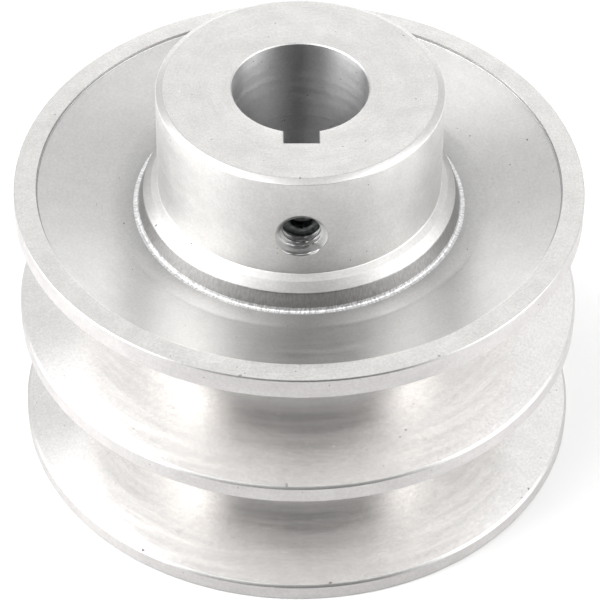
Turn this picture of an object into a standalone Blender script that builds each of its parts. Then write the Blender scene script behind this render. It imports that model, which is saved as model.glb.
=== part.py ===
"""Two-groove V-belt pulley with a projecting keyed hub, and the set screw that locks it to its shaft.

The pulley stands on its back face: the origin is the centre of that face and +Z runs up the bore to
the hub's end. The keyway and the tapped hole are on the -Y side. Sizes are in metres.
"""

import math

import bmesh
import bpy

MM = 0.001

# Rim
RIM_RADIUS = 40.0 * MM
RIM_WIDTH = 43.2 * MM
RIM_FACE_INNER_RADIUS = 36.85 * MM
RIM_EDGE_WIDTH = 0.2 * MM
RIM_EDGE_DROP = 0.5 * MM
EDGE_BREAK = 0.33 * MM

# Belt grooves, a classical B section
GROOVE_COUNT = 2
GROOVE_PITCH = 20.0 * MM
FIRST_GROOVE_FROM_FRONT = 12.0 * MM
GROOVE_TOP_WIDTH = 17.1 * MM
GROOVE_HALF_ANGLE = math.radians(17.0)
GROOVE_FLOOR_RADIUS = 26.5 * MM

# Dished web, the same on the front and the back: a flat ring round the boss, then a cone that rises
# parallel to the groove's flank. Depths are below the rim's face.
WEB_STEP = 0.55 * MM
WEB_FLOOR_DEPTH = 3.87 * MM
WEB_FILLET_RADIUS = 1.3 * MM
BOSS_EDGE_RADIUS = 22.0 * MM
BOSS_EDGE_DEPTH = 1.33 * MM
BOSS_DRAFT = math.radians(17.0)

# Hub, bore and keyway
HUB_RADIUS = 19.85 * MM
HUB_PROJECTION = 16.8 * MM
HUB_CHAMFER_WIDTH = 0.95 * MM
HUB_CHAMFER_DROP = 0.48 * MM
HUB_FOOT_ABOVE_RIM = 0.35 * MM
BORE_RADIUS = 9.525 * MM
KEYWAY_WIDTH = 4.76 * MM
KEYWAY_FLOOR_RADIUS = 11.73 * MM

# Set screw and its tapped hole, as plain cylinders
TAPPED_HOLE_HEIGHT = RIM_WIDTH + 7.2 * MM
TAPPED_HOLE_RADIUS = 3.0 * MM
MOUTH_CHAMFER = 0.55 * MM
SCREW_RADIUS = 2.7 * MM
SCREW_LENGTH = 4.0 * MM
SCREW_FACE_DEPTH = 3.2 * MM
SCREW_CHAMFER = 0.4 * MM
SOCKET_ACROSS_FLATS = 3.0 * MM
SOCKET_DEPTH = 2.0 * MM
CUP_RADIUS = 1.5 * MM
CUP_DEPTH = 0.7 * MM

TURNED_STEPS = 72
HOLE_STEPS = 32
FILLET_POINTS = 4
CUT_OVERRUN = 2.0 * MM


def clear_scene():
    for item in list(bpy.data.objects):
        bpy.data.objects.remove(item, do_unlink=True)


def new_collection(name, hidden=False):
    collection = bpy.data.collections.new(name)
    bpy.context.scene.collection.children.link(collection)
    collection.hide_render = hidden
    return collection


def new_material(name, color, roughness, metallic):
    material = bpy.data.materials.new(name)
    material.use_nodes = True
    shader = material.node_tree.nodes["Principled BSDF"]
    shader.inputs["Base Color"].default_value = (*color, 1.0)
    shader.inputs["Roughness"].default_value = roughness
    shader.inputs["Metallic"].default_value = metallic
    return material


def new_object(name, mesh, collection, material=None):
    item = bpy.data.objects.new(name, mesh)
    collection.objects.link(item)
    if material:
        mesh.materials.append(material)
    return item


def turned(name, profile, steps, collection, material=None):
    """A solid of revolution about local Z. The closed profile of (radius, height) points starts at the
    top of its inner side and runs out, down the outer side and back in."""
    mesh = bpy.data.meshes.new(name)
    points = [(radius, 0.0, height) for radius, height in profile]
    ends = [(i, (i + 1) % len(points)) for i in range(len(points))]
    mesh.from_pydata(points, ends, [])
    item = new_object(name, mesh, collection, material)
    screw = item.modifiers.new("Turn", "SCREW")
    screw.axis = "Z"
    screw.steps = steps
    screw.render_steps = steps
    screw.use_merge_vertices = True
    screw.merge_threshold = 0.00001
    screw.use_smooth_shade = False
    return item


def cylinder(name, radius, bottom, top, steps, collection):
    mesh = bpy.data.meshes.new(name)
    shape = bmesh.new()
    bmesh.ops.create_cone(
        shape, cap_ends=True, segments=steps, radius1=radius, radius2=radius, depth=top - bottom
    )
    bmesh.ops.translate(shape, verts=shape.verts, vec=(0.0, 0.0, (top + bottom) / 2))
    shape.to_mesh(mesh)
    shape.free()
    return new_object(name, mesh, collection)


def box(name, low, high, collection):
    mesh = bpy.data.meshes.new(name)
    shape = bmesh.new()
    bmesh.ops.create_cube(shape, size=1.0)
    size = [b - a for a, b in zip(low, high)]
    centre = [(a + b) / 2 for a, b in zip(low, high)]
    bmesh.ops.scale(shape, verts=shape.verts, vec=size)
    bmesh.ops.translate(shape, verts=shape.verts, vec=centre)
    shape.to_mesh(mesh)
    shape.free()
    return new_object(name, mesh, collection)


def cut(item, cutter):
    cutter.hide_render = True
    cutter.display_type = "WIRE"
    boolean = item.modifiers.new("Cut " + cutter.name, "BOOLEAN")
    boolean.operation = "DIFFERENCE"
    boolean.solver = "EXACT"
    boolean.object = cutter


def lay_along_y(item, height):
    """Turns local +Z to world -Y, with the axis at this height."""
    item.rotation_euler = (math.radians(90.0), 0.0, 0.0)
    item.location = (0.0, 0.0, height)


def web_profile():
    """Points of (radius, depth below the rim face) from the boss's edge out to the rim face's edge."""
    corner_radius = BOSS_EDGE_RADIUS + (WEB_FLOOR_DEPTH - BOSS_EDGE_DEPTH) * math.tan(BOSS_DRAFT)
    first = math.radians(180.0) - BOSS_DRAFT
    last = math.radians(90.0)
    centre_radius = corner_radius + WEB_FILLET_RADIUS * math.tan((first - last) / 2)
    centre_depth = WEB_FLOOR_DEPTH - WEB_FILLET_RADIUS
    points = [(BOSS_EDGE_RADIUS, BOSS_EDGE_DEPTH)]
    for i in range(FILLET_POINTS):
        angle = first + (last - first) * i / (FILLET_POINTS - 1)
        points.append(
            (
                centre_radius + WEB_FILLET_RADIUS * math.cos(angle),
                centre_depth + WEB_FILLET_RADIUS * math.sin(angle),
            )
        )
    rise = WEB_FLOOR_DEPTH - WEB_STEP
    points.append((RIM_FACE_INNER_RADIUS - rise / math.tan(GROOVE_HALF_ANGLE), WEB_FLOOR_DEPTH))
    points.append((RIM_FACE_INNER_RADIUS, WEB_STEP))
    return points


def rim_profile():
    """The rim's outer side from the front edge down to the back edge, through its grooves."""
    corner = RIM_RADIUS - EDGE_BREAK
    face_edge = RIM_RADIUS - RIM_EDGE_WIDTH
    half_top = GROOVE_TOP_WIDTH / 2
    half_floor = half_top - (corner - GROOVE_FLOOR_RADIUS) * math.tan(GROOVE_HALF_ANGLE)
    points = [(face_edge, RIM_WIDTH), (RIM_RADIUS, RIM_WIDTH - RIM_EDGE_DROP)]
    for groove in range(GROOVE_COUNT):
        middle = RIM_WIDTH - FIRST_GROOVE_FROM_FRONT - groove * GROOVE_PITCH
        points += [
            (RIM_RADIUS, middle + half_top + EDGE_BREAK),
            (corner, middle + half_top),
            (GROOVE_FLOOR_RADIUS, middle + half_floor),
            (GROOVE_FLOOR_RADIUS, middle - half_floor),
            (corner, middle - half_top),
            (RIM_RADIUS, middle - half_top - EDGE_BREAK),
        ]
    points += [(RIM_RADIUS, RIM_EDGE_DROP), (face_edge, 0.0)]
    return points


def body_profile():
    """The whole half-section, from the bore's top edge round to its bottom edge."""
    hub_top = RIM_WIDTH + HUB_PROJECTION
    web = web_profile()
    points = [
        (BORE_RADIUS, hub_top),
        (HUB_RADIUS - HUB_CHAMFER_WIDTH, hub_top),
        (HUB_RADIUS, hub_top - HUB_CHAMFER_DROP),
        (HUB_RADIUS, RIM_WIDTH + HUB_FOOT_ABOVE_RIM),
    ]
    points += [(radius, RIM_WIDTH - depth) for radius, depth in web]
    points.append((RIM_FACE_INNER_RADIUS, RIM_WIDTH))
    points += rim_profile()
    points.append((RIM_FACE_INNER_RADIUS, 0.0))
    points += [(radius, depth) for radius, depth in reversed(web[1:])]
    points += [
        (BOSS_EDGE_RADIUS, EDGE_BREAK),
        (BOSS_EDGE_RADIUS - EDGE_BREAK, 0.0),
        (BORE_RADIUS, 0.0),
    ]
    return points


def tapped_hole_cutter(collection):
    """Reaches from inside the bore to outside the hub, with a small countersink at the mouth."""
    inner = BORE_RADIUS - CUT_OVERRUN
    outer = HUB_RADIUS + CUT_OVERRUN
    wide = TAPPED_HOLE_RADIUS + MOUTH_CHAMFER
    mouth = HUB_RADIUS - wide**2 / (2 * HUB_RADIUS)
    profile = [
        (0.0, outer),
        (wide + outer - mouth, outer),
        (TAPPED_HOLE_RADIUS, mouth - MOUTH_CHAMFER),
        (TAPPED_HOLE_RADIUS, inner),
        (0.0, inner),
    ]
    cutter = turned("tapped_hole_cutter", profile, HOLE_STEPS, collection)
    lay_along_y(cutter, TAPPED_HOLE_HEIGHT)
    return cutter


def make_pulley_body(parts, cutters):
    aluminium = new_material("cast_aluminium", (0.78, 0.78, 0.77), 0.38, 1.0)
    body = turned("pulley_body", body_profile(), TURNED_STEPS, parts, aluminium)
    low = -CUT_OVERRUN
    high = RIM_WIDTH + HUB_PROJECTION + CUT_OVERRUN
    half = KEYWAY_WIDTH / 2
    keyway = box("keyway_cutter", (-half, -KEYWAY_FLOOR_RADIUS, low), (half, 0.0, high), cutters)
    cut(body, keyway)
    cut(body, tapped_hole_cutter(cutters))
    return body


def make_set_screw(parts, cutters):
    """The screw points inwards along +Y. Its origin is the middle of its socket face."""
    steel = new_material("black_oxide_steel", (0.04, 0.045, 0.045), 0.35, 1.0)
    waist = SCREW_RADIUS - SCREW_CHAMFER
    profile = [
        (0.0, 0.0),
        (waist, 0.0),
        (SCREW_RADIUS, -SCREW_CHAMFER),
        (SCREW_RADIUS, SCREW_CHAMFER - SCREW_LENGTH),
        (waist, -SCREW_LENGTH),
        (CUP_RADIUS, -SCREW_LENGTH),
        (0.0, CUP_DEPTH - SCREW_LENGTH),
    ]
    screw = turned("set_screw", profile, HOLE_STEPS, parts, steel)
    corner = SOCKET_ACROSS_FLATS / math.sqrt(3.0)
    socket = cylinder("socket_cutter", corner, -SOCKET_DEPTH, CUT_OVERRUN, 6, cutters)
    cut(screw, socket)
    for item in (screw, socket):
        lay_along_y(item, TAPPED_HOLE_HEIGHT)
        item.location.y = SCREW_FACE_DEPTH - HUB_RADIUS
    return screw


def main():
    clear_scene()
    parts = new_collection("v_belt_pulley")
    cutters = new_collection("cutters", hidden=True)
    make_pulley_body(parts, cutters)
    make_set_screw(parts, cutters)


main()
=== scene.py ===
"""Looks of the two-groove V-belt pulley: its machined casting and its set screw."""

import math
import random

import bmesh
import bpy
import numpy as np
from mathutils import Matrix, Vector, noise


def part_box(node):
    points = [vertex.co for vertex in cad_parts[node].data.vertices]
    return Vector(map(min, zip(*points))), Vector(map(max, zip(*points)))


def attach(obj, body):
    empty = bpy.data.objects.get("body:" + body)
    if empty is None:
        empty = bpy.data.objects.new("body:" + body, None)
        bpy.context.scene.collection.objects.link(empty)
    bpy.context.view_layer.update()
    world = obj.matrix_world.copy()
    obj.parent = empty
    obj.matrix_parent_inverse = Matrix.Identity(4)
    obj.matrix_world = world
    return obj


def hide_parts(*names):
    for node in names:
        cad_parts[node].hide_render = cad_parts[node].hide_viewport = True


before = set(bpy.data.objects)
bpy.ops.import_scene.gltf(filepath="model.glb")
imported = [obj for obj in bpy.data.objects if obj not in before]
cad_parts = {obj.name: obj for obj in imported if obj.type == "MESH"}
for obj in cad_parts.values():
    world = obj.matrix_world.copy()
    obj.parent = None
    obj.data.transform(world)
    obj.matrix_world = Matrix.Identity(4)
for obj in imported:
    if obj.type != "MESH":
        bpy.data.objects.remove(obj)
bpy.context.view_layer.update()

body_low, body_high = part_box("pulley_body")
screw_low, screw_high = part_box("set_screw")

MM = 0.001

# Rim and grooves, with heights measured up from the back face
RIM_RADIUS = (body_high.x - body_low.x) / 2
RIM_TOP = 43.2 * MM
RIM_FACE_INNER_RADIUS = 36.85 * MM
RIM_FACE_FALL = 0.09 * MM
RIM_EDGE_WIDTH = 0.14 * MM
RIM_EDGE_DROP = 0.3 * MM
EDGE_BREAK = 0.33 * MM
GROOVE_MIDDLES = (31.2 * MM, 11.2 * MM)
GROOVE_TOP_WIDTH = 17.1 * MM
GROOVE_HALF_ANGLE = math.radians(17.0)
GROOVE_FLOOR_RADIUS = 26.5 * MM

# Web and boss, with depths measured down from the rim's face
WEB_STEP = 0.55 * MM
WEB_FLOOR_DEPTH = 3.87 * MM
BOSS_EDGE_RADIUS = 22.0 * MM
BOSS_EDGE_DEPTH = 1.33 * MM
BOSS_DRAFT = math.radians(17.0)
CLEAN_WALL_SHARE = 0.8
RAGGED_FLOOR_WIDTH = 0.55 * MM
STEP_LINE_START = 0.2 * MM
STEP_LINE_MIDDLE = 0.08 * MM
STEP_LINE_DEPTH = 0.08 * MM
STEP_LINE_RISE = 0.02 * MM

# Hub, with a fine notch and a skirt of two bands at its foot
HUB_TOP = body_high.z
HUB_RADIUS = 19.85 * MM
HUB_CHAMFER_WIDTH = 0.95 * MM
HUB_CHAMFER_DROP = 0.48 * MM
HUB_FOOT_ABOVE_RIM = 0.35 * MM
FOOT_NOTCH_START = 0.2 * MM
FOOT_NOTCH_HEIGHT = 0.05 * MM
FOOT_NOTCH_DEPTH = 0.1 * MM
FOOT_LIP_WIDTH = 0.05 * MM
FOOT_LIP_DROP = 0.02 * MM
SKIRT_BAND_WIDTH = 0.95 * MM
SKIRT_BAND_DROP = 0.5 * MM
SKIRT_FALL = 0.78
BORE_RADIUS = 9.525 * MM
BORE_CHAMFER = 0.14 * MM
TOOL_STOP_DEPTH = 13.0 * MM
TOOL_STEP = 0.09 * MM
KEYWAY_WIDTH = 4.76 * MM
KEYWAY_FLOOR_RADIUS = 11.73 * MM
KEYWAY_CHAMFER = 0.12 * MM

# Tapped hole: an M6 x 1 thread along -Y, with a flared mouth that is torn on one side. The flat at
# the thread's root and the run of its flank are shares of the pitch.
HOLE_HEIGHT = (screw_low.z + screw_high.z) / 2
THREAD_PITCH = 1.0 * MM
THREAD_HALF_ROOT = 1 / 16
THREAD_FLANK_RUN = 5 / 16
HOLE_ROOT_RADIUS = 3.05 * MM
HOLE_THREAD_DEPTH = 0.45 * MM
HOLE_OVERRUN = 0.4 * MM
MOUTH_FLARE = 0.8 * MM
MOUTH_THREAD_LOSS = 0.3
CHATTER_PITCH = 0.22 * MM
CHATTER_DEPTH = 0.015 * MM
TORN_REACH = 1.6 * MM
TORN_DEPTH = 0.16 * MM
TORN_SIDE = math.radians(120.0)
LEAST_TORN = 0.25
CHATTER_DRIFT = 0.4
TORN_SCALE = 1.7
TORN_ROUND = 2.4

# Set screw: the thread, the hexagon socket and the cup point
SCREW_FACE = -screw_low.y
SCREW_POINT = -screw_high.y
SCREW_CREST_RADIUS = 2.94 * MM
SCREW_THREAD_DEPTH = 0.5 * MM
SCREW_FACE_CHAMFER = 0.25 * MM
SCREW_POINT_CHAMFER = 0.9 * MM
SOCKET_ACROSS_FLATS = 3.0 * MM
SOCKET_DEPTH = 1.4 * MM
SOCKET_MOUTH_RADIUS = 1.9 * MM
SOCKET_MOUTH_DEPTH = 0.3 * MM
DRILL_CLEARANCE = 0.12 * MM
DRILL_PAST_SOCKET = 0.25 * MM
DRILL_POINT_LENGTH = 0.8 * MM
CUP_RADIUS = 2.0 * MM
CUP_START = 0.5 * MM
CUP_DEPTH = 0.65 * MM
POINT_RADIUS = 0.1 * MM

# Mesh
TURNED_STEPS = 432
THREAD_STEPS = 72
THREAD_ROWS_PER_TURN = 14
CUTTER_STEPS = 48
SMALL_ROUNDING = 0.15 * MM
SETBACK_SHARE = 0.45
SHARP_ANGLE = math.radians(26.0)
OVERRUN = 2.0 * MM

# Unevenness of the cast surfaces: features to the millimetre, and relief in millimetres
COARSE_SCALE = 1.3
COARSE_RELIEF = 0.015
FINE_SCALE = 2.7
FINE_RELIEF = 0.045
WEB_SCALE = 0.35
WEB_RELIEF = 0.012

# Texture of the metal: pitches, spacings and radii in millimetres, scales in features to the
# millimetre, streaks to the radian round the axis, and the rest as shares
LINE_PITCH = 0.16
LINE_DRIFT = 0.06
LINE_SHADE = 0.025
BAND_SCALE = 0.9
CLOUD_SCALE = 0.28
GRAIN_SCALE = 2.6
GRAIN_RELIEF = 0.8
ROUGHNESS_SWING = 0.03
SPECK_SPACING = 1.1
SPECK_RADIUS = 0.12
SPECK_CORE = 0.6
SPECK_SHADE = 0.35
SPECK_RELIEF = -20.0
STREAKS_ROUND = 80.0
STREAK_SCALE = 1.3

# Stage, in metres
FLOOR_RADIUS = 6.0
FLOOR_GAP = 0.02 * MM

# Camera, with angles in degrees
CAMERA_TARGET = (0.3 * MM, 0.0, 20.0 * MM)
CAMERA_DISTANCE = 468.4 * MM
CAMERA_AZIMUTH = -1.3
CAMERA_ELEVATION = 43.34
CAMERA_ROLL = 0.69
CAMERA_LENS = 193.8

# Soft lights: azimuth, elevation, and how far from there each starts to fade and ends, in degrees;
# then the strength it adds to the room's
ROOM_STRENGTH = 1.0
SOFTBOXES = {
    "front left": (302.0, 22.0, 43.0, 53.0, 4.0),
    "front right": (65.0, 33.0, 28.0, 39.0, 3.0),
    "back left": (255.0, 50.0, 8.0, 28.0, 1.0),
    "right fill": (110.0, 26.0, 8.0, 60.0, 0.2),
    "back": (180.0, 0.0, 5.0, 37.0, 1.5),
}
# The dark gap in front: azimuth, how far to each side it starts to fade and ends, and the
# elevations where it starts to fade and ends, in degrees
DARK_FRONT = (2.0, 35.0, 74.0, 44.0, 59.0)


def add_object(name, mesh):
    item = bpy.data.objects.new(name, mesh)
    bpy.context.scene.collection.objects.link(item)
    return item


# ---------------------------------------------------------------- shader helpers


def add(tree, kind, inputs=(), **settings):
    """A new node. Its inputs are given by socket name or number, as values or as nodes' outputs."""
    made = tree.nodes.new(kind)
    for name, value in settings.items():
        setattr(made, name, value)
    for key, value in dict(inputs).items():
        if isinstance(value, bpy.types.NodeSocket):
            tree.links.new(value, made.inputs[key])
        else:
            made.inputs[key].default_value = value
    return made


def math_node(tree, operation, *values):
    return add(tree, "ShaderNodeMath", enumerate(values), operation=operation).outputs[0]


def vector_node(tree, operation, inputs, output=0):
    return add(tree, "ShaderNodeVectorMath", inputs, operation=operation).outputs[output]


def remap(tree, value, low, high, to_low, to_high):
    inputs = {
        "Value": value,
        "From Min": low,
        "From Max": high,
        "To Min": to_low,
        "To Max": to_high,
    }
    return add(tree, "ShaderNodeMapRange", inputs).outputs["Result"]


def swing(tree, factor, low, high, spread=0.2):
    """A noise factor, which stays near a half, stretched to run from low to high."""
    return remap(tree, factor, 0.5 - spread, 0.5 + spread, low, high)


def millimetres(tree):
    """The point being shaded, in millimetres from the back face's centre."""
    place = add(tree, "ShaderNodeTexCoord").outputs["Object"]
    return vector_node(tree, "SCALE", {0: place, "Scale": 1000.0})


def fractal(tree, vector, scale, detail, roughness):
    inputs = {"Vector": vector, "Scale": scale, "Detail": detail, "Roughness": roughness}
    return add(tree, "ShaderNodeTexNoise", inputs).outputs["Fac"]


def level_part(tree, vector):
    return vector_node(tree, "MULTIPLY", {0: vector, 1: (1.0, 1.0, 0.0)})


def axis_distance(tree, point):
    return vector_node(tree, "LENGTH", {0: level_part(tree, point)}, "Value")


def turned_coordinate(tree, point, across):
    """A vector that changes fast across the tool's path and slowly along it."""
    parts = add(tree, "ShaderNodeSeparateXYZ", {0: point})
    if across == "radius":
        travel = axis_distance(tree, point)
    else:
        travel = parts.outputs["Z"]
    x = math_node(tree, "MULTIPLY", parts.outputs["X"], LINE_DRIFT)
    y = math_node(tree, "MULTIPLY", parts.outputs["Y"], LINE_DRIFT)
    return add(tree, "ShaderNodeCombineXYZ", {0: travel, 1: x, 2: y}).outputs[0]


def specks(tree, point, share):
    """1 inside scattered round specks and 0 outside, with a share of the places filled."""
    inputs = {"Vector": point, "Scale": 1.0 / SPECK_SPACING, "Randomness": 1.0}
    cells = add(tree, "ShaderNodeTexVoronoi", inputs)
    edge = SPECK_RADIUS / SPECK_SPACING
    near = remap(tree, cells.outputs["Distance"], edge, SPECK_CORE * edge, 0.0, 1.0)
    parts = add(tree, "ShaderNodeSeparateColor", {0: cells.outputs["Color"]})
    chosen = math_node(tree, "LESS_THAN", parts.outputs[0], share)
    return math_node(tree, "MULTIPLY", near, chosen)


def new_metal(name):
    material = bpy.data.materials.new(name)
    material.use_nodes = True
    shader = material.node_tree.nodes["Principled BSDF"]
    shader.inputs["Metallic"].default_value = 1.0
    return material, material.node_tree, shader


def paint(tree, shader, colour, shade):
    """Gives the metal its colour, times a shade that varies over it."""
    base = vector_node(tree, "SCALE", {0: colour, "Scale": shade})
    tree.links.new(base, shader.inputs["Base Color"])


def emboss(tree, shader, height, depth, strength=1.0):
    """Bumps the metal, by the depth in millimetres for a height of 1."""
    inputs = {"Height": height, "Strength": strength, "Distance": depth * MM}
    bump = add(tree, "ShaderNodeBump", inputs)
    tree.links.new(bump.outputs[0], shader.inputs["Normal"])


def aluminium(
    name,
    colour,
    roughness,
    anisotropy,
    across="radius",
    line_depth=0.005,
    cloud=0.05,
    grain=0.1,
    pit_share=0.07,
    painted_root_shade=None,
):
    """Machined aluminium. Its tool lines run round the axis, spaced across the radius or height.

    The last argument, if given, paints shade into the colour near the axis, for the shade that
    falls in the corner at the web's root by the hub: it holds the radius up to which the painted
    shade is darkest, the radius where the painted shade ends, and the darkest shade.
    """
    material, tree, shader = new_metal(name)
    shader.inputs["Anisotropic"].default_value = anisotropy
    shader.inputs["Anisotropic Rotation"].default_value = 0.25
    tangent = add(tree, "ShaderNodeTangent", direction_type="RADIAL", axis="Z")
    tree.links.new(tangent.outputs[0], shader.inputs["Tangent"])

    point = millimetres(tree)
    travel = turned_coordinate(tree, point, across)
    lines = fractal(tree, travel, 1.0 / LINE_PITCH, detail=2.0, roughness=0.55)
    bands = fractal(tree, travel, BAND_SCALE, detail=2.0, roughness=0.55)
    clouds = fractal(tree, point, CLOUD_SCALE, detail=4.0, roughness=0.6)
    grains = fractal(tree, point, GRAIN_SCALE, detail=3.0, roughness=0.7)
    pits = specks(tree, point, pit_share)

    shade = swing(tree, clouds, 1.0 - cloud, 1.0 + cloud)
    grain_shade = swing(tree, grains, 1.0 - grain, 1.0 + grain, spread=0.25)
    line_shade = swing(tree, lines, 1.0 - LINE_SHADE, 1.0 + LINE_SHADE)
    shade = math_node(tree, "MULTIPLY", shade, grain_shade)
    shade = math_node(tree, "MULTIPLY", shade, line_shade)
    shade = math_node(tree, "MULTIPLY", shade, remap(tree, pits, 0.0, 1.0, 1.0, SPECK_SHADE))
    # Painted shade: the colour darkens toward the axis, for the shade at the web's root by the hub
    if painted_root_shade:
        full_shade_radius, change_radius, darkest_shade = painted_root_shade
        distance = axis_distance(tree, point)
        root_shade_factor = remap(tree, distance, full_shade_radius, change_radius, darkest_shade, 1.0)
        shade = math_node(tree, "MULTIPLY", shade, root_shade_factor)
    paint(tree, shader, colour, shade)

    rough = swing(tree, bands, roughness - ROUGHNESS_SWING, roughness + ROUGHNESS_SWING)
    tree.links.new(rough, shader.inputs["Roughness"])

    height = math_node(tree, "ADD", lines, math_node(tree, "MULTIPLY", grains, GRAIN_RELIEF))
    height = math_node(tree, "ADD", height, math_node(tree, "MULTIPLY", pits, SPECK_RELIEF))
    emboss(tree, shader, height, line_depth)
    return material


def torn_aluminium(name, colour, roughness, low, high, depth):
    """Aluminium torn into short light and dark streaks, side by side round the axis."""
    material, tree, shader = new_metal(name)
    shader.inputs["Roughness"].default_value = roughness
    point = millimetres(tree)
    parts = add(tree, "ShaderNodeSeparateXYZ", {0: point})
    toward_front = math_node(tree, "MULTIPLY", parts.outputs["Y"], -1.0)
    turn = math_node(tree, "ARCTAN2", parts.outputs["X"], toward_front)
    round_axis = math_node(tree, "MULTIPLY", turn, STREAKS_ROUND)
    height = math_node(tree, "MULTIPLY", parts.outputs["Z"], STREAK_SCALE)
    outward = math_node(tree, "MULTIPLY", axis_distance(tree, point), STREAK_SCALE)
    place = {0: round_axis, 1: height, 2: outward}
    streaks = add(tree, "ShaderNodeCombineXYZ", place).outputs[0]
    ticks = fractal(tree, streaks, scale=1.0, detail=3.0, roughness=0.6)
    paint(tree, shader, colour, swing(tree, ticks, low, high, spread=0.15))
    emboss(tree, shader, ticks, depth)
    return material


def black_oxide(name):
    material, tree, shader = new_metal(name)
    point = millimetres(tree)
    clouds = fractal(tree, point, scale=1.5, detail=4.0, roughness=0.6)
    grains = fractal(tree, point, scale=12.0, detail=2.0, roughness=0.6)
    paint(tree, shader, (0.22, 0.238, 0.232), swing(tree, clouds, 0.6, 1.5))
    tree.links.new(swing(tree, grains, 0.35, 0.5), shader.inputs["Roughness"])
    emboss(tree, shader, grains, depth=0.01, strength=0.6)
    return material


# ---------------------------------------------------------------- casting

# The casting's finishes, each with the longest stretch of outline between two rings of vertices
RING_SPACING = {
    "turned_face": 2.6 * MM,
    "turned_side": 2.8 * MM,
    "land": 2.0 * MM,
    "skirt": 2.0 * MM,
    "lower_skirt": 2.0 * MM,
    "bright_edge": 1.6 * MM,
    "cast_web": 1.6 * MM,
    "boss_wall": 0.8 * MM,
    "rough_fillet": 0.16 * MM,
    "flank": 4.6 * MM,
    "groove_floor": 12.0 * MM,
    "bore": 12.0 * MM,
    "step_line": 1.0 * MM,
    "pit": 1.0 * MM,
}
FINISHES = tuple(RING_SPACING)


def front_web(top):
    """Corners from the boss's edge to the rim's face.

    Each corner is (radius, height, rounding, finish that follows), here and below.
    """
    floor = top - WEB_FLOOR_DEPTH
    wall_drop = WEB_FLOOR_DEPTH - BOSS_EDGE_DEPTH
    wall_foot = BOSS_EDGE_RADIUS + wall_drop * math.tan(BOSS_DRAFT)
    change_radius = BOSS_EDGE_RADIUS + CLEAN_WALL_SHARE * (wall_foot - BOSS_EDGE_RADIUS)
    clean_depth = BOSS_EDGE_DEPTH + CLEAN_WALL_SHARE * wall_drop
    # The web rises to the rim beside the groove's wall, at the same angle
    rise = WEB_FLOOR_DEPTH - WEB_STEP
    cone_start = RIM_FACE_INNER_RADIUS - rise / math.tan(GROOVE_HALF_ANGLE)
    step = top - WEB_STEP
    line_start = RIM_FACE_INNER_RADIUS - STEP_LINE_START
    line_middle = RIM_FACE_INNER_RADIUS - STEP_LINE_MIDDLE
    return [
        (BOSS_EDGE_RADIUS, top - BOSS_EDGE_DEPTH, 0.5 * MM, "boss_wall"),
        (change_radius, top - clean_depth, 0.0, "rough_fillet"),
        (wall_foot, floor, 0.7 * MM, "rough_fillet"),
        (wall_foot + RAGGED_FLOOR_WIDTH, floor, 0.0, "cast_web"),
        (cone_start, floor, 2.5 * MM, "cast_web"),
        (line_start, step, 0.02 * MM, "step_line"),
        (line_middle, step - STEP_LINE_DEPTH, 0.02 * MM, "step_line"),
        (RIM_FACE_INNER_RADIUS, step + STEP_LINE_RISE, 0.02 * MM, "bright_edge"),
    ]


def groove(middle):
    """Corners of one belt groove, from its upper edge down to its lower edge."""
    corner = RIM_RADIUS - EDGE_BREAK
    half_top = GROOVE_TOP_WIDTH / 2
    half_floor = half_top - (corner - GROOVE_FLOOR_RADIUS) * math.tan(GROOVE_HALF_ANGLE)
    return [
        (RIM_RADIUS, middle + half_top + EDGE_BREAK, 0.08 * MM, "bright_edge"),
        (corner, middle + half_top, 0.08 * MM, "flank"),
        (GROOVE_FLOOR_RADIUS, middle + half_floor, 0.25 * MM, "groove_floor"),
        (GROOVE_FLOOR_RADIUS, middle - half_floor, 0.25 * MM, "flank"),
        (corner, middle - half_top, 0.08 * MM, "bright_edge"),
        (RIM_RADIUS, middle - half_top - EDGE_BREAK, 0.08 * MM, "land"),
    ]


def hub_corners():
    """Corners from the bore's top edge to the lower band of the skirt at the hub's foot."""
    foot = RIM_TOP + HUB_FOOT_ABOVE_RIM
    return [
        (BORE_RADIUS + BORE_CHAMFER, HUB_TOP, 0.03 * MM, "turned_face"),
        (HUB_RADIUS - HUB_CHAMFER_WIDTH, HUB_TOP, 0.25 * MM, "bright_edge"),
        (HUB_RADIUS, HUB_TOP - HUB_CHAMFER_DROP, 0.2 * MM, "turned_side"),
        (HUB_RADIUS, foot + FOOT_NOTCH_START, 0.02 * MM, "turned_side"),
        (HUB_RADIUS - FOOT_NOTCH_DEPTH, foot + FOOT_NOTCH_HEIGHT, 0.03 * MM, "turned_side"),
        (HUB_RADIUS + FOOT_LIP_WIDTH, foot - FOOT_LIP_DROP, 0.03 * MM, "skirt"),
        (HUB_RADIUS + SKIRT_BAND_WIDTH, foot - SKIRT_BAND_DROP, 0.2 * MM, "lower_skirt"),
    ]


def back_web():
    """The front's web mirrored to the back, from the rim inwards."""
    web = front_web(0.0)
    corners = []
    for i in range(len(web) - 1, 0, -1):
        radius, height, rounding, _ = web[i]
        corners.append((radius, -height, rounding, web[i - 1][3]))
    return corners


def bore_corners():
    """Corners from the boss's edge on the back to the bore's top edge."""
    tool_stop = HUB_TOP - TOOL_STOP_DEPTH
    return [
        (BOSS_EDGE_RADIUS, EDGE_BREAK, 0.1 * MM, "bright_edge"),
        (BOSS_EDGE_RADIUS - EDGE_BREAK, 0.0, 0.1 * MM, "turned_face"),
        (BORE_RADIUS + BORE_CHAMFER, 0.0, 0.03 * MM, "bright_edge"),
        (BORE_RADIUS, BORE_CHAMFER, 0.03 * MM, "bore"),
        (BORE_RADIUS, tool_stop, 0.02 * MM, "bore"),
        (BORE_RADIUS - TOOL_STEP, tool_stop + TOOL_STEP, 0.02 * MM, "bore"),
        (BORE_RADIUS - TOOL_STEP, HUB_TOP - BORE_CHAMFER, 0.03 * MM, "bright_edge"),
    ]


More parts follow.
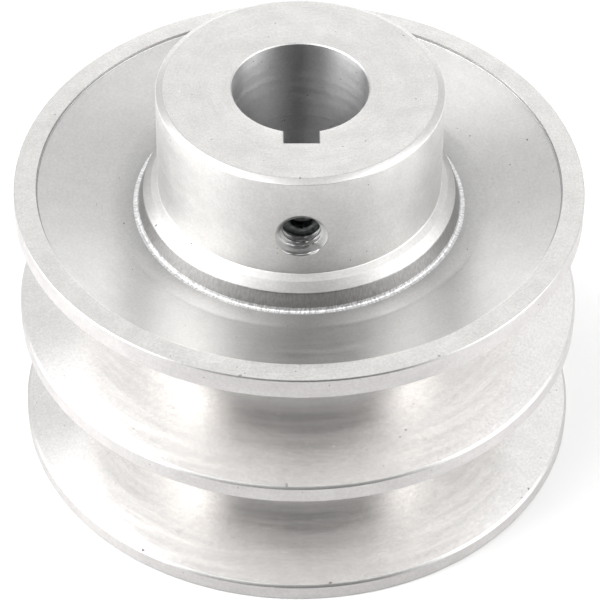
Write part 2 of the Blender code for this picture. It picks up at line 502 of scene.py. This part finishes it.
def body_corners():
    """The whole half-section, from the bore's top edge out and round to it again."""
    rim_edge = RIM_RADIUS - RIM_EDGE_WIDTH
    corners = hub_corners() + front_web(RIM_TOP)
    corners += [
        (RIM_FACE_INNER_RADIUS, RIM_TOP, 0.08 * MM, "turned_face"),
        (rim_edge, RIM_TOP - RIM_FACE_FALL, 0.1 * MM, "bright_edge"),
        (RIM_RADIUS, RIM_TOP - RIM_EDGE_DROP, 0.1 * MM, "land"),
    ]
    for middle in GROOVE_MIDDLES:
        corners += groove(middle)
    corners += [
        (RIM_RADIUS, RIM_EDGE_DROP, 0.1 * MM, "bright_edge"),
        (rim_edge, 0.0, 0.1 * MM, "turned_face"),
        (RIM_FACE_INNER_RADIUS, 0.0, 0.06 * MM, "bright_edge"),
    ]
    return corners + back_web() + bore_corners()


def corner_arc(before, corner, after, rounding):
    """Points that round one corner with a circle's arc, which takes up under half of each side."""
    back = before - corner
    ahead = after - corner
    reach = SETBACK_SHARE * min(back.length, ahead.length)
    back.normalize()
    ahead.normalize()
    half = back.angle(ahead) / 2
    if rounding <= 0.0 or half > math.radians(89.0):
        return [corner]
    setback = min(rounding / math.tan(half), reach)
    radius = setback * math.tan(half)
    centre = corner + (back + ahead).normalized() * (setback / math.cos(half))
    start = corner + back * setback - centre
    end = corner + ahead * setback - centre
    count = 3 if rounding < SMALL_ROUNDING else 4
    points = []
    for i in range(count):
        mix = i / (count - 1)
        direction = start.slerp(end, mix) if start.angle(end) > 1e-4 else start
        points.append(centre + direction.normalized() * radius)
    return points


def outline_rings(corners):
    """The rounded outline as rings of (radius, height), and the finish that follows each ring."""
    places = [Vector((radius, 0.0, height)) for radius, height, _, _ in corners]
    rings = []
    finishes = []
    for i, (_, _, rounding, finish) in enumerate(corners):
        arc = corner_arc(places[i - 1], places[i], places[(i + 1) % len(places)], rounding)
        rings += arc
        finishes += [finish] * len(arc)
    dense = []
    dense_finishes = []
    for i, (ring, finish) in enumerate(zip(rings, finishes)):
        following = rings[(i + 1) % len(rings)]
        pieces = max(1, math.ceil((following - ring).length / RING_SPACING[finish]))
        for k in range(pieces):
            dense.append(ring.lerp(following, k / pieces))
            dense_finishes.append(finish)
    return np.array([(ring.x, ring.z) for ring in dense]), dense_finishes


def outline_normals(rings):
    """Unit vectors in the half-section that point out of the metal."""
    ahead = np.roll(rings, -1, axis=0) - np.roll(rings, 1, axis=0)
    normals = np.stack([-ahead[:, 1], ahead[:, 0]], axis=1)
    return normals / np.linalg.norm(normals, axis=1, keepdims=True)


def unevenness(x, y, z, finish):
    """How far the surface stands out at a point, on the cast web and the ragged fillet."""
    place = Vector((x, y, z)) / MM
    if finish == "rough_fillet":
        coarse = noise.noise(place * COARSE_SCALE)
        fine = noise.noise(place * FINE_SCALE + Vector((7.0, 3.0, 1.0)))
        return (COARSE_RELIEF * coarse + FINE_RELIEF * fine) * MM
    if finish == "cast_web":
        return WEB_RELIEF * noise.noise(place * WEB_SCALE) * MM
    return 0.0


def turned_mesh(name, rings, finishes):
    """The outline swept round Z, with the cast parts' unevenness."""
    normals = outline_normals(rings)
    points = []
    for i, (radius, height) in enumerate(rings):
        for k in range(TURNED_STEPS):
            angle = math.tau * k / TURNED_STEPS
            cosine, sine = math.cos(angle), math.sin(angle)
            out = unevenness(radius * cosine, radius * sine, height, finishes[i])
            r = radius + out * normals[i][0]
            points.append((r * cosine, r * sine, height + out * normals[i][1]))
    faces = []
    count = len(rings)
    for i in range(count):
        a = i * TURNED_STEPS
        b = (i + 1) % count * TURNED_STEPS
        for k in range(TURNED_STEPS):
            m = (k + 1) % TURNED_STEPS
            faces.append((a + k, b + k, b + m, a + m))
    mesh = bpy.data.meshes.new(name)
    mesh.from_pydata(points, [], faces)
    indices = np.repeat([FINISHES.index(finish) for finish in finishes], TURNED_STEPS)
    mesh.polygons.foreach_set("material_index", indices.astype(np.int32))
    return mesh


# ---------------------------------------------------------------- cutters


def lofted(name, rings, material):
    """A closed solid through rings of points, each ring joined to the next, with flat ends."""
    count = len(rings[0])
    points = [point for ring in rings for point in ring]
    faces = []
    for i in range(len(rings) - 1):
        a, b = i * count, (i + 1) * count
        for k in range(count):
            m = (k + 1) % count
            faces.append((a + k, a + m, b + m, b + k))
    faces.append(tuple(reversed(range(count))))
    last = (len(rings) - 1) * count
    faces.append(tuple(last + k for k in range(count)))
    mesh = bpy.data.meshes.new(name)
    mesh.from_pydata(points, [], faces)
    mesh.materials.append(material)
    shape = bmesh.new()
    shape.from_mesh(mesh)
    bmesh.ops.recalc_face_normals(shape, faces=shape.faces)
    shape.to_mesh(mesh)
    shape.free()
    return add_object(name, mesh)


def keyway_cutter(material):
    """A bar through the bore that flares at both ends, for the keyway's broken edges."""
    heights = (
        (-OVERRUN, OVERRUN + KEYWAY_CHAMFER),
        (KEYWAY_CHAMFER, 0.0),
        (HUB_TOP - KEYWAY_CHAMFER, 0.0),
        (HUB_TOP + OVERRUN, OVERRUN + KEYWAY_CHAMFER),
    )
    rings = []
    for z, grow in heights:
        half = KEYWAY_WIDTH / 2 + grow
        floor = -KEYWAY_FLOOR_RADIUS - grow
        rings.append([(-half, floor, z), (half, floor, z), (half, 0.0, z), (-half, 0.0, z)])
    return lofted("keyway_cutter", rings, material)


def thread_dip(travel, angle):
    """How far in from its root a 60 degree thread stands, from 0 to 1."""
    turn = (travel / THREAD_PITCH - angle / math.tau) % 1.0
    from_root = min(turn, 1.0 - turn)
    return min(max((from_root - THREAD_HALF_ROOT) / THREAD_FLANK_RUN, 0.0), 1.0)


def hole_radius(travel, angle):
    """The tapped hole, with tool chatter along it and a flared, torn mouth."""
    side = HOLE_ROOT_RADIUS * math.sin(angle)
    surface = math.sqrt(HUB_RADIUS**2 - side**2)
    lip = min(max((travel - surface) / MOUTH_FLARE + 1.0, 0.0), 2.0)
    dip = thread_dip(travel, angle) * (1.0 - MOUTH_THREAD_LOSS * lip)
    along = travel / CHATTER_PITCH
    chatter = noise.noise(Vector((along, 0.3, angle * CHATTER_DRIFT))) * CHATTER_DEPTH
    near_mouth = min(max((travel - surface) / TORN_REACH + 1.0, 0.0), 1.0)
    torn_share = max(LEAST_TORN, math.cos(angle - TORN_SIDE) ** 3)
    round_place = Vector((TORN_ROUND * math.sin(angle), TORN_ROUND * math.cos(angle), along))
    torn = noise.noise(round_place * TORN_SCALE) * TORN_DEPTH * near_mouth * torn_share
    return HOLE_ROOT_RADIUS - dip * HOLE_THREAD_DEPTH + lip * MOUTH_FLARE + chatter + torn


def thread_place(travel, angle, radius):
    """A point beside the hole's axis, which runs along -Y."""
    return (radius * math.sin(angle), -travel, HOLE_HEIGHT + radius * math.cos(angle))


def thread_rings(start, end, radius_at):
    rows = math.ceil((end - start) / THREAD_PITCH * THREAD_ROWS_PER_TURN)
    rings = []
    for i in range(rows + 1):
        travel = start + (end - start) * i / rows
        ring = []
        for k in range(THREAD_STEPS):
            angle = math.tau * k / THREAD_STEPS
            ring.append(thread_place(travel, angle, radius_at(travel, angle)))
        rings.append(ring)
    return rings


def tapped_hole_cutter(material):
    rings = thread_rings(BORE_RADIUS - OVERRUN, HUB_RADIUS + HOLE_OVERRUN, hole_radius)
    return lofted("tapped_hole_cutter", rings, material)


def skirt_height(radius):
    return RIM_TOP + HUB_FOOT_ABOVE_RIM - SKIRT_FALL * (radius - HUB_RADIUS)


def web_height(radius):
    to_rim = RIM_FACE_INNER_RADIUS - radius
    cone = RIM_TOP - WEB_STEP - to_rim * math.tan(GROOVE_HALF_ANGLE)
    return max(cone, RIM_TOP - WEB_FLOOR_DEPTH)


def flank_height(middle, radius):
    """The height of a groove's lower side at a radius."""
    corner = RIM_RADIUS - EDGE_BREAK
    return middle - GROOVE_TOP_WIDTH / 2 + (corner - radius) * math.tan(GROOVE_HALF_ANGLE)


# Each surface's height at a radius, and how far its outward direction leans up, in degrees
SURFACES = {
    "hub_face": (lambda radius: HUB_TOP, 90.0),
    "rim_face": (lambda radius: RIM_TOP, 90.0),
    "skirt": (skirt_height, 52.0),
    "web": (web_height, 107.0),
    "front_flank": (lambda radius: flank_height(GROOVE_MIDDLES[0], radius), 73.0),
    "back_flank": (lambda radius: flank_height(GROOVE_MIDDLES[1], radius), 73.0),
}

# Pits and chips that stand out: surface, degrees from +X toward +Y, radius and size in millimetres
MARKS = (
    ("skirt", -157, 21.6, 0.7),
    ("skirt", -145, 21.1, 0.35),
    ("skirt", -138, 20.1, 0.4),
    ("web", 33, 27.5, 0.3),
    ("web", 28, 28.0, 0.35),
    ("web", 17, 34.2, 0.4),
    ("web", 11, 30.6, 0.3),
    ("web", 4, 36.0, 0.35),
    ("web", -169, 25.0, 0.4),
    ("web", -24, 25.4, 0.3),
    ("hub_face", -91, 18.9, 0.5),
    ("hub_face", -102, 19.3, 0.45),
    ("rim_face", -91, 36.9, 0.35),
    ("rim_face", -102, 39.8, 0.7),
    ("rim_face", -63, 39.8, 0.7),
    ("front_flank", -65, 33.9, 0.35),
    ("front_flank", -62, 36.2, 0.3),
    ("front_flank", -67, 34.6, 0.3),
    ("front_flank", -73, 38.0, 0.3),
    ("front_flank", -93, 39.5, 0.8),
    ("back_flank", -84, 39.5, 0.6),
    ("back_flank", -124, 39.8, 0.7),
    ("back_flank", -33, 39.4, 0.5),
    ("back_flank", -36, 39.5, 0.4),
)

# Small pits strewn over each surface: how many, and the radii they keep between, in millimetres
STREWN = {
    "hub_face": (12, 10.5, 18.5),
    "rim_face": (10, 37.2, 39.4),
    "web": (16, 25.0, 36.0),
    "front_flank": (26, 28.0, 39.0),
    "back_flank": (26, 28.0, 39.0),
}
STREWN_SIZES = (0.16, 0.3)
PIT_WIDTHS = (0.5, 0.9)
PIT_DEPTH = 0.45
PIT_JAG = 0.08


def add_pit(shape, chance, surface, azimuth, radius, size):
    """A flattened, jagged lump, half sunk in the surface."""
    height_at, lean = SURFACES[surface]
    angle = math.radians(azimuth)
    tilt = math.radians(lean)
    cosine, sine = math.cos(angle), math.sin(angle)
    place = Vector((radius * cosine, radius * sine, height_at(radius)))
    outward = Vector((math.cos(tilt) * cosine, math.cos(tilt) * sine, math.sin(tilt)))
    turn = outward.to_track_quat("Z", "Y").to_matrix().to_4x4()
    spin = Matrix.Rotation(chance.uniform(0.0, math.tau), 4, "Z")
    stretch = Matrix.Diagonal((1.0, chance.uniform(*PIT_WIDTHS), PIT_DEPTH, 1.0))
    where = Matrix.Translation(place) @ turn @ spin @ stretch
    made = bmesh.ops.create_icosphere(shape, subdivisions=1, radius=size / 2, matrix=where)
    for vertex in made["verts"]:
        vertex.co += Vector([chance.uniform(-PIT_JAG, PIT_JAG) * size for _ in range(3)])


def pits_cutter(material):
    chance = random.Random(4)
    shape = bmesh.new()
    for surface, azimuth, radius, size in MARKS:
        add_pit(shape, chance, surface, azimuth, radius * MM, size * MM)
    for surface, (count, nearest, farthest) in STREWN.items():
        for k in range(count):
            azimuth = (k + chance.uniform(0.1, 0.9)) * 360.0 / count
            radius = chance.uniform(nearest, farthest) * MM
            add_pit(shape, chance, surface, azimuth, radius, chance.uniform(*STREWN_SIZES) * MM)
    mesh = bpy.data.meshes.new("pits_cutter")
    shape.to_mesh(mesh)
    shape.free()
    mesh.materials.append(material)
    return add_object("pits_cutter", mesh)


def cut_away(item, cutters):
    """Cuts the cutters from a mesh. The result has the cutters' materials on the cuts."""
    for cutter in cutters:
        boolean = item.modifiers.new("Cut", "BOOLEAN")
        boolean.operation = "DIFFERENCE"
        boolean.solver = "EXACT"
        boolean.material_mode = "TRANSFER"
        boolean.object = cutter
    graph = bpy.context.evaluated_depsgraph_get()
    result = bpy.data.meshes.new_from_object(item.evaluated_get(graph))
    item.modifiers.clear()
    item.data = result
    for cutter in cutters:
        bpy.data.objects.remove(cutter)


def finish_edges(item):
    item.data.shade_smooth()
    item.data.set_sharp_from_angle(angle=SHARP_ANGLE)
    weighted = item.modifiers.new("Flat faces stay flat", "WEIGHTED_NORMAL")
    weighted.keep_sharp = True


# ---------------------------------------------------------------- pieces

# The looks of the machined surfaces, as aluminium() takes them
MACHINED = {
    "turned_face": {
        "colour": (0.73, 0.722, 0.707),
        "roughness": 0.2,
        "anisotropy": 0.4,
        "cloud": 0.06,
        "grain": 0.09,
    },
    "turned_side": {
        "colour": (0.635, 0.626, 0.616),
        "roughness": 0.43,
        "anisotropy": 0.5,
        "across": "height",
    },
    "land": {
        "colour": (0.53, 0.516, 0.51),
        "roughness": 0.48,
        "anisotropy": 0.7,
        "across": "height",
        "pit_share": 0.14,
    },
    "skirt": {"colour": (0.48, 0.475, 0.467), "roughness": 0.5, "anisotropy": 0.3},
    "lower_skirt": {"colour": (0.48, 0.475, 0.467), "roughness": 0.45, "anisotropy": 0.3},
    "bright_edge": {
        "colour": (0.5, 0.495, 0.49),
        "roughness": 0.38,
        "anisotropy": 0.2,
        "cloud": 0.02,
        "pit_share": 0.01,
    },
    "cast_web": {
        "colour": (0.52, 0.515, 0.51),
        "roughness": 0.38,
        "anisotropy": 0.62,
        "cloud": 0.03,
        "pit_share": 0.02,
        # Painted shade at the web's root by the hub, darker toward the axis
        "painted_root_shade": (23.3, 27.0, 0.76),
    },
    "flank": {
        "colour": (0.73, 0.717, 0.707),
        "roughness": 0.2,
        "anisotropy": 0.8,
        "line_depth": 0.003,
        "cloud": 0.03,
        "pit_share": 0.09,
    },
    "groove_floor": {"colour": (0.6, 0.6, 0.6), "roughness": 0.5, "anisotropy": 0.0},
    "bore": {
        "colour": (0.57, 0.57, 0.57),
        "roughness": 0.45,
        "anisotropy": 0.9,
        "across": "height",
        "pit_share": 0.3,
    },
    "step_line": {
        "colour": (0.5, 0.5, 0.5),
        "roughness": 0.5,
        "anisotropy": 0.0,
        "pit_share": 0.0,
    },
    "pit": {"colour": (0.3, 0.3, 0.3), "roughness": 0.5, "anisotropy": 0.0, "pit_share": 0.0},
    "cut_thread": {
        "colour": (0.42, 0.42, 0.415),
        "roughness": 0.36,
        "anisotropy": 0.0,
        "pit_share": 0.0,
    },
    "broached_keyway": {
        "colour": (0.29, 0.297, 0.297),
        "roughness": 0.4,
        "anisotropy": 0.0,
        "pit_share": 0.0,
    },
}

# The looks of the torn surfaces, where low and high are the shades of the dark and light streaks
TORN = {
    "boss_wall": {
        "colour": (0.34, 0.336, 0.332),
        "roughness": 0.4,
        "low": 0.88,
        "high": 1.12,
        "depth": 0.03,
    },
    "rough_fillet": {
        "colour": (0.7, 0.7, 0.7),
        "roughness": 0.42,
        "low": 0.6,
        "high": 1.12,
        "depth": 0.14,
    },
}


def make_casting():
    materials = {name: aluminium(name, **look) for name, look in MACHINED.items()}
    materials.update({name: torn_aluminium(name, **look) for name, look in TORN.items()})
    rings, finishes = outline_rings(body_corners())
    mesh = turned_mesh("pulley_casting", rings, finishes)
    for finish in FINISHES:
        mesh.materials.append(materials[finish])
    casting = add_object("pulley_casting", mesh)
    keyway = keyway_cutter(materials["broached_keyway"])
    tapped_hole = tapped_hole_cutter(materials["cut_thread"])
    cut_away(casting, [keyway, tapped_hole, pits_cutter(materials["pit"])])
    finish_edges(casting)
    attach(casting, "pulley")
    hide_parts("pulley_body")


def turned_cutter(name, profile, material, steps=CUTTER_STEPS):
    """A cutter turned about the screw's axis from (travel, radius) pairs."""
    rings = []
    for travel, radius in profile:
        rings.append([thread_place(travel, math.tau * k / steps, radius) for k in range(steps)])
    return lofted(name, rings, material)


def socket_cutter(material):
    """A hexagonal hole in the screw's outer end."""
    corner = SOCKET_ACROSS_FLATS / math.sqrt(3.0)
    profile = [(SCREW_FACE - SOCKET_DEPTH, corner), (SCREW_FACE + OVERRUN, corner)]
    return turned_cutter("socket_cutter", profile, material, steps=6)


def socket_drill_cutter(material):
    """The drilled bottom of the socket and the countersink at its mouth."""
    drilled = SOCKET_ACROSS_FLATS / 2 + DRILL_CLEARANCE
    floor = SCREW_FACE - SOCKET_DEPTH - DRILL_PAST_SOCKET
    profile = [
        (floor - DRILL_POINT_LENGTH, POINT_RADIUS),
        (floor, drilled),
        (SCREW_FACE - SOCKET_MOUTH_DEPTH, drilled),
        (SCREW_FACE, SOCKET_MOUTH_RADIUS),
        (SCREW_FACE + OVERRUN, SOCKET_MOUTH_RADIUS + OVERRUN),
    ]
    return turned_cutter("socket_drill_cutter", profile, material)


def cup_cutter(material):
    """The hollow in the screw's point."""
    profile = [(SCREW_POINT - CUP_START, CUP_RADIUS), (SCREW_POINT + CUP_DEPTH, POINT_RADIUS)]
    return turned_cutter("cup_cutter", profile, material)


def screw_radius(travel, angle):
    thread = SCREW_CREST_RADIUS - SCREW_THREAD_DEPTH * thread_dip(travel, angle)
    face_chamfer = SCREW_CREST_RADIUS - SCREW_FACE_CHAMFER + (SCREW_FACE - travel)
    point_chamfer = SCREW_CREST_RADIUS - SCREW_POINT_CHAMFER + (travel - SCREW_POINT)
    return min(thread, face_chamfer, point_chamfer)


def make_screw():
    material = black_oxide("black_oxide_steel")
    rings = thread_rings(SCREW_POINT, SCREW_FACE, screw_radius)
    screw = lofted("set_screw_threaded", rings, material)
    cut_away(screw, [socket_cutter(material), socket_drill_cutter(material), cup_cutter(material)])
    finish_edges(screw)
    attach(screw, "screw")
    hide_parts("set_screw")


# ---------------------------------------------------------------- stage


def direction_at(azimuth, elevation):
    """A direction out from the object. Azimuth 0 is its front, at -Y, and 90 is its right."""
    turn, rise = math.radians(azimuth), math.radians(elevation)
    return (math.sin(turn) * math.cos(rise), -math.cos(turn) * math.cos(rise), math.sin(rise))


def make_floor():
    material = bpy.data.materials.new("pale_floor")
    material.use_nodes = True
    shader = material.node_tree.nodes["Principled BSDF"]
    shader.inputs["Base Color"].default_value = (0.8, 0.8, 0.8, 1.0)
    shader.inputs["Roughness"].default_value = 0.9
    shader.inputs["Specular IOR Level"].default_value = 0.1
    mesh = bpy.data.meshes.new("floor")
    shape = bmesh.new()
    bmesh.ops.create_circle(shape, cap_ends=True, segments=96, radius=FLOOR_RADIUS)
    shape.to_mesh(mesh)
    shape.free()
    mesh.materials.append(material)
    floor = add_object("floor", mesh)
    floor.location.z = -FLOOR_GAP


def make_camera():
    data = bpy.data.cameras.new("camera")
    data.lens = CAMERA_LENS
    data.clip_start = 0.01
    data.clip_end = 50.0
    camera = add_object("camera", data)
    away = Vector(direction_at(CAMERA_AZIMUTH, CAMERA_ELEVATION))
    camera.location = Vector(CAMERA_TARGET) + away * CAMERA_DISTANCE
    roll = Matrix.Rotation(math.radians(CAMERA_ROLL), 3, "Z")
    aim = (-away).to_track_quat("-Z", "Y").to_matrix() @ roll
    camera.rotation_euler = aim.to_euler()
    bpy.context.scene.camera = camera


def smooth_share(tree, cosine, inner, outer):
    """1 where an angle is under inner, falling smoothly to 0 at outer, from the angle's cosine."""
    inputs = {"Value": cosine, "From Min": math.cos(outer), "From Max": math.cos(inner)}
    made = add(tree, "ShaderNodeMapRange", inputs, interpolation_type="SMOOTHSTEP")
    return made.outputs["Result"]


def share_near(tree, direction, axis, inner, outer):
    """1 within the inner angle of an axis, falling smoothly to 0 at the outer one, in degrees."""
    cosine = vector_node(tree, "DOT_PRODUCT", {0: direction, 1: axis}, "Value")
    return smooth_share(tree, cosine, math.radians(inner), math.radians(outer))


def softbox(tree, direction, azimuth, elevation, inner, outer, strength):
    """A round, soft-edged light, as the strength it adds in each direction."""
    share = share_near(tree, direction, direction_at(azimuth, elevation), inner, outer)
    return math_node(tree, "MULTIPLY", share, strength)


def dark_front(tree, direction, azimuth, inner, outer, low, high):
    """1 in the unlit part of the room in front of the object, and 0 elsewhere."""
    level = vector_node(tree, "NORMALIZE", {0: level_part(tree, direction)})
    across = share_near(tree, level, direction_at(azimuth, 0.0), inner, outer)
    height = add(tree, "ShaderNodeSeparateXYZ", {0: direction}).outputs["Z"]
    low_to_zenith = math.pi / 2 - math.radians(low)
    high_to_zenith = math.pi / 2 - math.radians(high)
    above = smooth_share(tree, height, high_to_zenith, low_to_zenith)
    return math_node(tree, "MULTIPLY", across, math_node(tree, "SUBTRACT", 1.0, above))


def make_world():
    """The studio: an even room, soft lights round it, and a dark gap behind the camera."""
    world = bpy.data.worlds.new("studio")
    world.use_nodes = True
    tree = world.node_tree
    direction = add(tree, "ShaderNodeTexCoord").outputs["Generated"]
    strength = ROOM_STRENGTH
    for light in SOFTBOXES.values():
        strength = math_node(tree, "ADD", strength, softbox(tree, direction, *light))
    lit = math_node(tree, "SUBTRACT", 1.0, dark_front(tree, direction, *DARK_FRONT))
    strength = math_node(tree, "MULTIPLY", strength, lit)
    tree.links.new(strength, tree.nodes["Background"].inputs["Strength"])
    tree.nodes["Background"].inputs["Color"].default_value = (1.0, 1.0, 1.0, 1.0)
    bpy.context.scene.world = world


make_camera()
make_casting()
make_screw()
make_floor()
make_world()
bpy.context.scene.view_settings.view_transform = "Standard"
